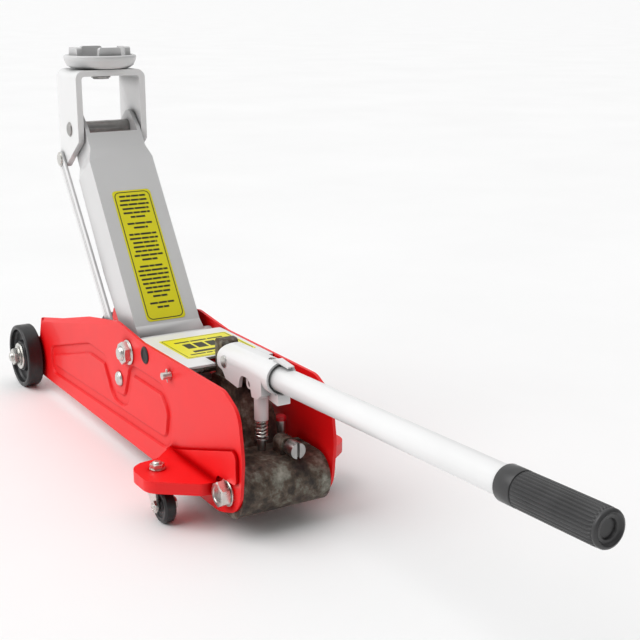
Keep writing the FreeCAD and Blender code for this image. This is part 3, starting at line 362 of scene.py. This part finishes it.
RED = paint("red_enamel", (0.86, 0.003, 0.005), (0.42, 0.42), 0.10, 0.04, 0.0)
WHITE = paint("white_enamel", (0.80, 0.80, 0.80), (0.28, 0.38), 0.3, 0.015)
# Pale grey enamel, darker than the white: part of its darkness is painted shade, as on the lift
# arm, whose paint is the same white as the rest.
GREY_AND_SHADED_WHITE = paint("grey_and_shaded_white_enamel", (0.66, 0.66, 0.66), (0.30, 0.40), 0.3, 0.02)
# Painted shade: the red, white and grey enamels are darkened, and their gloss is dulled, in
# crevices and seams.
paint_crevice_shade(RED, 14.0, 0.34, 0.5)
paint_crevice_shade(WHITE, 22.0, 0.5, 0.5)
paint_crevice_shade(GREY_AND_SHADED_WHITE, 26.0, 0.5, 0.65)
ZINC = metal("zinc_plate", (0.66, 0.65, 0.62), (0.22, 0.38))
STEEL = metal("machined_steel", (0.40, 0.39, 0.38), (0.28, 0.46))
DARK_STEEL = metal("oiled_steel", (0.12, 0.11, 0.10), (0.3, 0.5))
CASTING = casting("raw_casting")
BLACK = moulded("wheel_plastic", (0.011, 0.011, 0.012), (0.30, 0.44), 0.10)
GRIP = moulded("grip_rubber", (0.036, 0.036, 0.037), (0.28, 0.40), 0.10)
SEAL = moulded("seal_rubber", (0.012, 0.012, 0.012), (0.5, 0.65), 0.2)
RED_PLASTIC = moulded("red_plastic", (0.55, 0.012, 0.02), (0.3, 0.42), 0.1)
YELLOW = paint("yellow_film", (0.82, 0.75, 0.004), (0.34, 0.44), 0.05, 0.03, 0.0)
PRINT = paint("print_ink", (0.030, 0.030, 0.012), (0.5, 0.6), 0.0, 0.2, 0.03)

PAINT_OF_SLOT = {
    "red_paint": RED, "white_paint": WHITE, "grey_paint": GREY_AND_SHADED_WHITE, "zinc": ZINC, "steel": STEEL,
    "casting": CASTING, "wheel": BLACK, "grip": GRIP, "label": YELLOW, "seal": SEAL,
    "red_cap": RED_PLASTIC, "spring": DARK_STEEL,
}


# Width of the softened edges in millimetres, by the end of the node's name.
EDGE_WIDTHS = {
    "side_plate": 0.7, "castor_bracket": 2.6, "saddle_bracket": 1.0, "lift_arm": 0.9, "link": 0.4,
    "cover_plate": 0.6, "pump_body": 2.0, "handle_socket": 0.8, "saddle": 1.2, "castor_fork": 0.5,
}
OTHER_EDGE = 0.25


def paint_cad_nodes():
    """Give each CAD node its slot's material, and soften the made edges of sheet and castings."""
    for sub in frame["record"]["subparts"]:
        node = frame["nodes"][sub["node"]]
        node.data.materials.clear()
        node.data.materials.append(PAINT_OF_SLOT[sub["material_slot"]])
        width = OTHER_EDGE
        for word, value in EDGE_WIDTHS.items():
            if sub["node"].endswith(word):
                width = value
        bevelled(node, width)


# ---------------------------------------------------------------- detail shapes

def outwards(side, at):
    """Matrix of a piece turned about Y whose height grows outwards, from the middle plane."""
    return basis((at.x, 0, at.z), (0, side, 0), (1, 0, 0))


def hex_reach(flat, angle):
    """Distance from a hexagon's centre to its outline."""
    return flat / math.cos((angle + math.pi / 6) % (math.pi / 3) - math.pi / 6)


def six_sided(name, place, flat, low, high, bore=0.0, segments=72):
    """Chamfered hexagon of this half width across flats, as a nut or as a bolt's head."""
    angles = [math.tau * j / segments for j in range(segments)]
    rings = []

    def even(radius, height):
        rings.append([(radius * MM, angle, height * MM) for angle in angles])

    def cut(height, way):
        ring = []
        for angle in angles:
            reach = hex_reach(flat, angle)
            fall = (reach - flat * 0.97) * 0.55
            ring.append((reach * MM, angle, (height + way * fall) * MM))
        rings.append(ring)

    if bore:
        even(bore, low)
    even(flat * 0.97, low)
    cut(low, 1)
    cut(high, -1)
    even(flat * 0.95, high)
    if bore:
        even(bore + 0.9, high)
        even(bore, high - 0.9)
    else:
        even(flat * 0.72, high)
        even(flat * 0.68, high - 0.5)
    return surface(name, rings, place, closed=bool(bore), sharp=25)


def threaded(name, place, radius, low, high, pitch=1.6):
    """Threaded end with a chamfer."""
    profile = [(radius, low)]
    height = low + 0.4
    while height < high - 1.4:
        profile += [(radius - 0.75, height), (radius, height + pitch / 2)]
        height += pitch
    profile += [(radius - 0.4, high - 0.9), (radius - 1.3, high), (radius - 2.4, high - 0.3)]
    return lathe(name, profile, place, 48, sharp=20)


def coil(name, place, radius, wire, low, high, turns, close=1.5):
    """Coil spring with its end turns wound close."""
    points = []
    steps = int(turns * 20)
    for k in range(steps + 1):
        turn = turns * k / steps
        share = min(max((turn - close / 2) / (turns - close), 0), 1)
        squeeze = wire * 2 * (min(turn, close / 2) + max(turn - turns + close / 2, 0))
        height = low + wire + squeeze + share * (high - low - 2 * wire - 2 * wire * close)
        angle = math.tau * turn
        local = Vector((radius * math.cos(angle), radius * math.sin(angle), height)) * MM
        points.append(place @ local)
    return tube(name, points, wire * MM, 8)


def blocks(name, place, boxes, low=0.02, high=0.07):
    """Thin raised blocks from (x, y, half width, half length) in millimetres, in one piece."""
    vertices, faces = [], []
    for x, y, wide, long in boxes:
        first = len(vertices)
        for z in (low, high):
            for sx, sy in ((-1, -1), (1, -1), (1, 1), (-1, 1)):
                vertices.append(place @ (Vector((x + sx * wide, y + sy * long, z)) * MM))
        quads = ((3, 2, 1, 0), (4, 5, 6, 7), (0, 1, 5, 4), (1, 2, 6, 5), (2, 3, 7, 6), (3, 0, 4, 7))
        for quad in quads:
            faces.append(tuple(first + k for k in quad))
    return new_object(name, vertices, faces)


def rounded_frame(name, place, wide, long, corner, line, low=0.02, high=0.07):
    """Printed border: a closed strip with rounded corners."""
    outline = []
    for cx, cy, start in ((1, 1, 0), (-1, 1, 90), (-1, -1, 180), (1, -1, 270)):
        for k in range(7):
            angle = math.radians(start + 15 * k)
            outline.append((cx * (wide - corner), cy * (long - corner), angle))
    vertices = []
    for radius, z in ((corner, low), (corner, high), (corner - line, high), (corner - line, low)):
        for x, y, angle in outline:
            point = Vector((x + radius * math.cos(angle), y + radius * math.sin(angle), z))
            vertices.append(place @ (point * MM))
    columns = len(outline)
    faces = grid_faces(4, columns)
    for j in range(columns):
        following = (j + 1) % columns
        faces.append((3 * columns + j, 3 * columns + following, following, j))
    return new_object(name, vertices, faces)


def frame_pair(name, make, node, paint=ZINC, slot_name="zinc"):
    """A frame piece made on the left and on the right as one object, in place of its node."""
    pair = joined("pair", [make(-1), make(1)])
    pair.name = name
    finish_piece(pair, "frame", paint, slot_name, node)


# ---------------------------------------------------------------- wheels

def front_wheels():
    """Moulded front wheels with a plated hub ring and fine mould lines on the tread."""
    at = middle("front_axle")
    for word, side in SIDES:
        node = word + "_front_wheel"
        low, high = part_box(node)
        near = min(abs(low.y), abs(high.y)) / MM
        far = max(abs(low.y), abs(high.y)) / MM
        rim = extent(node).z / 2 / MM
        place = outwards(side, at)
        profile = [
            (6.6, near), (13.6, near), (15.6, near + 2.2), (19, near + 6), (rim - 9, near + 6),
            (rim - 6, near + 2.4), (rim - 1.6, near + 2.4), (rim, near + 4.2), (rim, far - 2.0),
            (rim - 0.8, far - 0.6), (rim - 2.2, far), (rim - 5.0, far), (rim - 6.0, far - 0.8),
            (rim - 6.6, far - 5.5), (rim - 8.2, far - 8.0), (26, far - 8.6), (22.5, far - 8.0),
            (20.6, far - 3.0), (19.4, far - 2.2), (6.6, far - 2.2),
        ]
        wheel = lathe(node + "_moulding", profile, place, 96, closed=True)
        finish_piece(bevelled(wheel, 0.5, 3, 25), node, BLACK, "wheel", node)
        ring = [
            (10.6, far - 2.3), (17.4, far - 2.3), (18.6, far - 1.4), (18.2, far - 0.2),
            (15.4, far + 0.1), (14.6, far - 0.7), (10.6, far - 0.7),
        ]
        hub = lathe(node + "_hub_ring", ring, place, 64, closed=True, sharp=50)
        finish_piece(hub, node, ZINC, "zinc")
        lines = []
        for height in (near + 6.2, (near + far) / 2 + 1.0, far - 4.4):
            lines.append(lathe("line", [
                (rim - 0.3, height - 0.5), (rim + 0.12, height - 0.3), (rim + 0.12, height + 0.3),
                (rim - 0.3, height + 0.5),
            ], place, 96, closed=True))
        finish_piece(joined(node + "_mould_lines", lines), node, BLACK, "wheel")


def castor_wheels():
    """Moulded castor wheels with a raised rim."""
    for word, side in SIDES:
        node = word + "_castor_wheel"
        at = middle(node)
        rim, half = extent(node).z / 2 / MM, extent(node).y / 2 / MM
        place = basis(at, (0, side, 0), (1, 0, 0))
        profile = [
            (3.05, -half), (6.4, -half), (7.4, -half + 1.6), (12.2, -half + 2.0),
            (13.2, -half + 0.3), (14.2, -half), (rim - 2.2, -half), (rim, -half + 2.0),
            (rim, half - 2.0), (rim - 2.2, half), (14.2, half), (13.2, half - 0.3),
            (12.2, half - 2.0), (7.4, half - 1.6), (6.4, half), (3.05, half),
        ]
        wheel = lathe(node + "_moulding", profile, place, 64, closed=True)
        finish_piece(bevelled(wheel, 0.4, 2, 25), node, BLACK, "wheel", node)


def castor_fasteners():
    """Castor stems with their nut, and castor axles with a nut at each end."""
    for word, side in SIDES:
        body = word + "_castor"
        node = word + "_castor_stem"
        low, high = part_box(node)
        at = middle(node)
        bottom, top = low.z / MM, high.z / MM
        place = basis((at.x, at.y, 0), (0, 0, 1))
        base = top - 8.8
        pieces = [
            lathe("stem", [
                (6.9, bottom), (6.9, bottom + 4.2), (5.0, bottom + 4.2), (5.0, base),
                (8.4, base), (8.4, base + 1.1), (7.6, base + 1.3), (5.5, base + 1.3),
            ], place, 48),
            six_sided("nut", place, 6.9, base + 1.3, base + 6.2),
            lathe("end", softened([
                (4.9, base + 5.6), (4.9, base + 7.4), (3.6, base + 8.6), (0.6, base + 8.8),
            ], 1.5), place, 32, sharp=60),
        ]
        finish_piece(joined(node + "_and_nut", pieces), body, ZINC, "zinc", node)
        axle = word + "_castor_axle"
        centre = middle(axle)
        reach = extent(axle).y / 2 / MM
        place = basis(centre, (0, side, 0), (1, 0, 0))
        head = reach - 3.5
        pieces = [lathe("shank", softened([
            (1.4, -reach), (2.9, -reach + 0.6), (2.9, reach - 0.6), (1.4, reach),
        ], 0.5), place, 32, sharp=50)]
        for way in (-side, side):
            nut = basis(centre, (0, way, 0), (1, 0, 0))
            pieces.append(six_sided("nut", nut, 6.0, head, reach - 0.7))
        finish_piece(joined(axle + "_nuts", pieces), body, ZINC, "zinc", axle)


# ---------------------------------------------------------------- fasteners on the frame

def axle_ends():
    """Front axle with threaded ends, and its nuts and washers."""
    at = middle("front_axle")
    end = extent("front_axle").y / 2 / MM
    low = -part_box("front_axle_nuts")[0].y / MM

    def bar(side):
        place = outwards(side, at)
        return joined("half", [
            lathe("bar", [(6.5, -0.5), (6.5, low - 9.2), (6.0, low - 9.2)], place, 48),
            threaded("thread", place, 6.0, low - 9.4, end),
        ])

    frame_pair("front_axle_bar", bar, "front_axle")

    def nut(side):
        place = outwards(side, at)
        return joined("half", [
            lathe("washer", softened([
                (6.2, low - 9.0), (13.4, low - 9.0), (13.4, low - 7.4), (6.2, low - 7.4),
            ], 0.3), place, 48),
            six_sided("nut", place, 10.5, low - 7.4, low, 6.05),
        ])

    frame_pair("front_axle_nuts_and_washers", nut, "front_axle_nuts")


def pivot_ends(face):
    """Arm pivot shaft with threaded ends, and its flange nuts."""
    at = middle("arm_pivot_shaft")
    end = extent("arm_pivot_shaft").y / 2 / MM
    outer = -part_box("arm_pivot_nuts")[0].y / MM

    def bar(side):
        place = outwards(side, at)
        return joined("half", [
            lathe("bar", [(12.5, -0.5), (12.5, face + 0.2), (8.0, face + 0.2)], place, 64),
            threaded("thread", place, 8.0, face, end, 2.0),
        ])

    frame_pair("arm_pivot_bar", bar, "arm_pivot_shaft")

    def nut(side):
        place = outwards(side, at)
        flange = softened([
            (8.1, face + 0.2), (14.9, face + 0.2), (14.9, face + 1.2), (12.2, face + 2.6),
            (8.1, face + 2.6),
        ], 0.6)
        return joined("half", [
            lathe("flange", flange, place, 64),
            six_sided("nut", place, 12.0, face + 1.8, outer, 8.05),
        ])

    frame_pair("arm_pivot_flange_nuts", nut, "arm_pivot_nuts")


def round_heads(face):
    """Link bolts with a shallow round head outside the plates."""
    at = middle("link_bolts")
    outer = -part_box("link_bolts")[0].y / MM

    def bolt(side):
        place = outwards(side, at)
        return lathe("half", softened([
            (5.0, 45.5), (5.0, 49.1), (9.0, 49.1), (9.0, face - 3.5), (6.0, face - 3.5),
            (6.0, face), (9.0, face), (9.0, face + 1.2), (7.6, outer - 1.0), (5.6, outer - 0.7),
            (5.0, outer - 0.1), (2.0, outer), (1.4, outer - 0.5),
        ], 0.6), place, 56, sharp=45)

    frame_pair("link_bolts_round_heads", bolt, "link_bolts")


def hole_plugs(face):
    """Rubber plugs with a dished face, in the plates' spare holes."""
    at = middle("hole_plugs")

    def plug(side):
        place = outwards(side, at)
        return lathe("half", softened([
            (7.0, face - 4.0), (8.0, face - 3.0), (8.0, face), (10.0, face), (10.0, face + 0.8),
            (8.6, face + 1.6), (6.8, face + 1.6), (6.2, face + 0.5), (2.0, face + 0.4),
        ], 0.4), place, 56, sharp=50)

    frame_pair("rubber_hole_plugs", plug, "hole_plugs", SEAL, "seal")


def rear_bolts(face):
    """Hexagon bolts with washers that hold the hydraulic unit's tail."""
    at = middle("body_bolts")
    low = -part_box("body_bolts")[0].y / MM

    def bolt(side):
        place = outwards(side, at)
        washer = softened([
            (8.0, face - 3.5), (8.0, face), (14.4, face), (14.4, face + 2.0), (8.0, face + 2.4),
        ], 0.5)
        return joined("half", [
            lathe("washer", washer, place, 56),
            six_sided("head", place, 12.0, face + 2.4, low),
        ])

    frame_pair("rear_bolts", bolt, "body_bolts")


# Wire radius of the split pins, in millimetres.
COTTER_WIRE = 0.55


def cotters(face):
    """Split pins through the ends of the spring rod."""
    at = middle("spring_rod")

    def pin(side):
        y = side * (face + 4.2)

        def at_height(across, height):
            return Vector((at.x + across * MM, y * MM, at.z + height * MM))

        pieces = []
        for lean, length in ((0.9, 9.5), (-0.6, 7.5)):
            points = []
            for k in range(13):
                down = length * k / 12
                bend = lean * max(0, down - 4.6) ** 1.4 * 0.12 + 0.35 * (1 if lean > 0 else -1)
                points.append(at_height(bend, 4.5 - down * 1.25))
            pieces.append(tube("leg", points, COTTER_WIRE * MM, 8))
        eye = []
        for k in range(16):
            angle = math.tau * k / 16
            height = 5.6 + 1.5 * math.sin(angle)
            eye.append(at_height(1.7 * math.cos(angle), height))
        pieces.append(tube("eye", eye, COTTER_WIRE * MM, 8, closed=True))
        return joined("half", pieces)

    frame_pair("split_pins", pin, "spring_rod_clips")


# ---------------------------------------------------------------- springs

def plunger_coil():
    """Compression spring around the pump's plunger."""
    node = "plunger_spring"
    low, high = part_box(node)
    at = middle(node)
    place = basis((at.x, at.y, 0), (0, 0, 1))
    wire = 1.15
    mean = extent(node).x / 2 / MM - wire
    piece = coil(node + "_coil", place, mean, wire, low.z / MM, high.z / MM, 5.2)
    finish_piece(piece, "frame", ZINC, "spring", node)


# Return springs: mean radius and wire radius of the coil, and its outside radius in the CAD.
COIL_MEAN, COIL_WIRE, COIL_OUTSIDE = 3.7, 0.8, 4.5


def return_coils():
    """Extension springs from the arm's ram pin to the cross rod, with a hook at each end."""
    rod, pin = middle("spring_rod"), middle("ram_pin")
    outer = -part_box("return_springs")[0].y / MM
    run = Vector((rod.x - pin.x, 0, rod.z - pin.z))
    length = run.length / MM
    pieces = []
    for side in (-1, 1):
        y = side * (outer - COIL_OUTSIDE)
        place = basis((pin.x, y * MM, pin.z), run, (0, 1, 0))
        pieces.append(coil("coil", place, COIL_MEAN, COIL_WIRE, 22.0, length - 20.0, 44))
        for low_end, radius in ((True, 7.5), (False, 5.4)):
            points = []
            centre = 0.0 if low_end else length
            way = 1 if low_end else -1
            for k in range(25):
                angle = math.radians(-150 + 300 * k / 24)
                along = centre - way * radius * math.cos(angle)
                points.append(place @ (Vector((0, radius * math.sin(angle), along)) * MM))
            tail = 22.5 if low_end else length - 20.5
            points.append(place @ (Vector((COIL_MEAN, 0, tail)) * MM))
            pieces.append(tube("hook", points, COIL_WIRE * MM, 8))
    piece = joined("return_spring_coils", pieces)
    finish_piece(piece, "frame", ZINC, "spring", "return_springs")
    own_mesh(piece)


# ---------------------------------------------------------------- handle

HANDLE_ANGLE = math.radians(2.1)


def grip():
    """Ribbed grip with a plain collar and a dished end."""
    at = middle("socket_pivot_pin")
    ahead = Vector((math.cos(HANDLE_ANGLE), 0, math.sin(HANDLE_ANGLE)))
    place = basis(at, ahead, (0, 0, 1))
    columns, ribs = 300, 30
    rows = [
        (13.05, 444.0, 0), (14.6, 444.0, 0), (15.2, 444.3, 0), (15.5, 445.2, 0), (15.5, 461.6, 0),
        (15.2, 462.3, 0), (14.3, 462.7, 0), (14.2, 463.6, 0.2), (14.2, 464.4, 1.2),
        (14.2, 500.0, 1.3), (14.2, 546.6, 1.3), (14.2, 548.0, 1.1), (14.0, 549.0, 0.3),
        (13.9, 549.6, 0), (14.7, 550.0, 0), (15.2, 550.8, 0), (15.2, 551.8, 0), (14.7, 552.9, 0),
        (13.6, 553.7, 0), (12.6, 554.0, 0), (11.8, 553.6, 0), (11.2, 552.5, 0), (10.6, 552.0, 0),
        (8.2, 551.8, 0), (7.6, 551.0, 0), (7.2, 549.6, 0),
    ]
    rings = []
    for radius, height, depth in rows:
        ring = []
        for j in range(columns):
            angle = math.tau * j / columns
            wave = 0.5 + 0.5 * math.tanh(2.4 * math.cos(ribs * angle)) / math.tanh(2.4)
            ring.append(((radius + depth * wave) * MM, angle, height * MM))
        rings.append(ring)
    piece = surface("ribbed_grip", rings, place, sharp=40)
    finish_piece(piece, "handle", GRIP, "grip", "handle_grip")


# ---------------------------------------------------------------- printed films

def film_place(node):
    """Matrix on the middle of a film's upper face: X across the jack, Z out of the film."""
    mesh = frame["nodes"][node].data
    widest = max((p for p in mesh.polygons if p.normal.z > 0.3), key=lambda p: p.area)
    normal = widest.normal.copy()
    flat = basis((0, 0, 0), normal, (0, 1, 0))
    back = flat.inverted()
    points = [back @ v.co for v in mesh.vertices]
    lows = [min(p[i] for p in points) for i in range(3)]
    highs = [max(p[i] for p in points) for i in range(3)]
    centre = Vector(((lows[0] + highs[0]) / 2, (lows[1] + highs[1]) / 2, highs[2]))
    size = ((highs[0] - lows[0]) / 2 / MM, (highs[1] - lows[1]) / 2 / MM)
    return Matrix.Translation(flat @ centre) @ flat, size


def rows_of_bars(chance, rows):
    """Broken rows of short bars, from (y, half height, reach, gap) rows."""
    boxes = []
    for y, tall, reach, gap in rows:
        x = -reach
        while x < reach - 1:
            long = min(chance.uniform(1.6, 4.2) * tall * 1.4, (reach - x) / 2)
            boxes.append((x + long, y, long, tall))
            x += 2 * long + gap
    return boxes


def arm_print():
    """Generic bars in five groups and a border, on the arm's film."""
    place, (wide, long) = film_place("arm_label")
    chance = random.Random(11)
    rows = []
    y = long - 8.0
    for lines in (6, 2, 7, 8, 2):
        for k in range(lines):
            share = (0.35, 0.6) if k == lines - 1 else (0.8, 1.0)
            rows.append((y, 1.25, (wide - 6.0) * chance.uniform(*share), 0.8))
            y -= 5.6
        y -= 3.2
    boxes = rows_of_bars(chance, rows)
    piece = joined("arm_label_print", [
        blocks("bars", place, boxes), rounded_frame("edge", place, wide - 2, long - 2, 7, 1.1),
    ])
    finish_piece(piece, "arm", PRINT, "label")


def cover_print():
    """Generic bars and four large blocks in a border, on the cover's film."""
    place, (wide, long) = film_place("cover_label")
    chance = random.Random(5)
    boxes = rows_of_bars(chance, [
        (22.0, 2.0, wide - 12, 1.6), (-18.0, 3.4, wide - 17, 2.4), (-27.5, 1.6, wide - 9, 1.4),
    ])
    for x, half in ((-20.0, 5.0), (-6.0, 6.0), (9.0, 6.0), (21.5, 3.2)):
        boxes.append((x, 4.0, half, 9.5))
    piece = joined("cover_label_print", [
        blocks("bars", place, boxes), rounded_frame("edge", place, wide - 2, long - 2, 3, 0.9),
    ])
    finish_piece(piece, "frame", PRINT, "label")


def detail_pieces():
    """Every detail piece; face is half the width over the side plates, in millimetres."""
    face = -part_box("left_side_plate")[0].y / MM
    front_wheels()
    castor_wheels()
    castor_fasteners()
    axle_ends()
    pivot_ends(face)
    round_heads(face)
    hole_plugs(face)
    rear_bolts(face)
    cotters(face)
    plunger_coil()
    return_coils()
    grip()
    arm_print()
    cover_print()


# ---------------------------------------------------------------- stage

# Half width of the floor, in metres.
FLOOR_HALF = 400.0
# Tone of the sky from one end of an axis to the other: axis, value at -1, value at +1.
SKY_TONES = (("X", 1.20, 0.25), ("Y", 1.15, 0.65))
SKY_STRENGTH = 0.85
# Sun lamps: name, direction of the light, watts per square metre, softness in degrees.
LAMPS = (("key", (0.25, 1.0, -1.25), 1.5, 50), ("top", (0.1, -0.3, -1.0), 0.5, 70))
CAMERA_AT = Vector((1.1147, -0.5728, 0.5378))
AZIMUTH, TILT = math.radians(31.28), math.radians(15.0)
FOCAL, SENSOR = 68.63, 36.0


def stage():
    """Pale floor, soft studio light and the camera."""
    half = FLOOR_HALF
    corners = [(-half, -half, 0), (half, -half, 0), (half, half, 0), (-half, half, 0)]
    floor = new_object("floor", corners, [(0, 1, 2, 3)])
    mat, tree, skin = shader("pale_floor")
    tone = ramp(tree, noise(tree, 2.0), [(0.3, (0.90, 0.90, 0.90)), (0.7, (0.93, 0.93, 0.93))])
    tree.links.new(tone, skin.inputs["Base Color"])
    skin.inputs["Roughness"].default_value = 0.7
    floor.data.materials.append(mat)

    world = bpy.data.worlds.new("studio")
    bpy.context.scene.world = world
    world.use_nodes = True
    tree = world.node_tree
    sky = tree.nodes["Background"]
    place = tree.nodes.new("ShaderNodeTexCoord")
    parts = tree.nodes.new("ShaderNodeSeparateXYZ")
    tree.links.new(place.outputs["Generated"], parts.inputs["Vector"])
    total = tree.nodes.new("ShaderNodeMath")
    total.operation = "MULTIPLY"
    for i, (axis, low, high) in enumerate(SKY_TONES):
        tone = spread(tree, parts.outputs[axis], low, high, (-1.0, 1.0))
        tree.links.new(tone, total.inputs[i])
    tree.links.new(total.outputs["Value"], sky.inputs["Color"])
    sky.inputs["Strength"].default_value = SKY_STRENGTH

    for name, towards, watts, soft in LAMPS:
        lamp = bpy.data.lights.new(name, "SUN")
        lamp.energy = watts
        lamp.angle = math.radians(soft)
        holder = bpy.data.objects.new(name, lamp)
        holder.rotation_euler = Vector(towards).to_track_quat("-Z", "Y").to_euler()
        bpy.context.collection.objects.link(holder)

    eye = bpy.data.cameras.new("camera")
    eye.lens = FOCAL
    eye.sensor_width = SENSOR
    camera = bpy.data.objects.new("camera", eye)
    ahead = Vector((
        -math.cos(AZIMUTH) * math.cos(TILT), math.sin(AZIMUTH) * math.cos(TILT), -math.sin(TILT),
    ))
    camera.location = CAMERA_AT
    camera.rotation_euler = ahead.to_track_quat("-Z", "Y").to_euler()
    bpy.context.collection.objects.link(camera)
    bpy.context.scene.camera = camera
    bpy.context.scene.view_settings.view_transform = "Standard"


paint_cad_nodes()
detail_pieces()
stage()
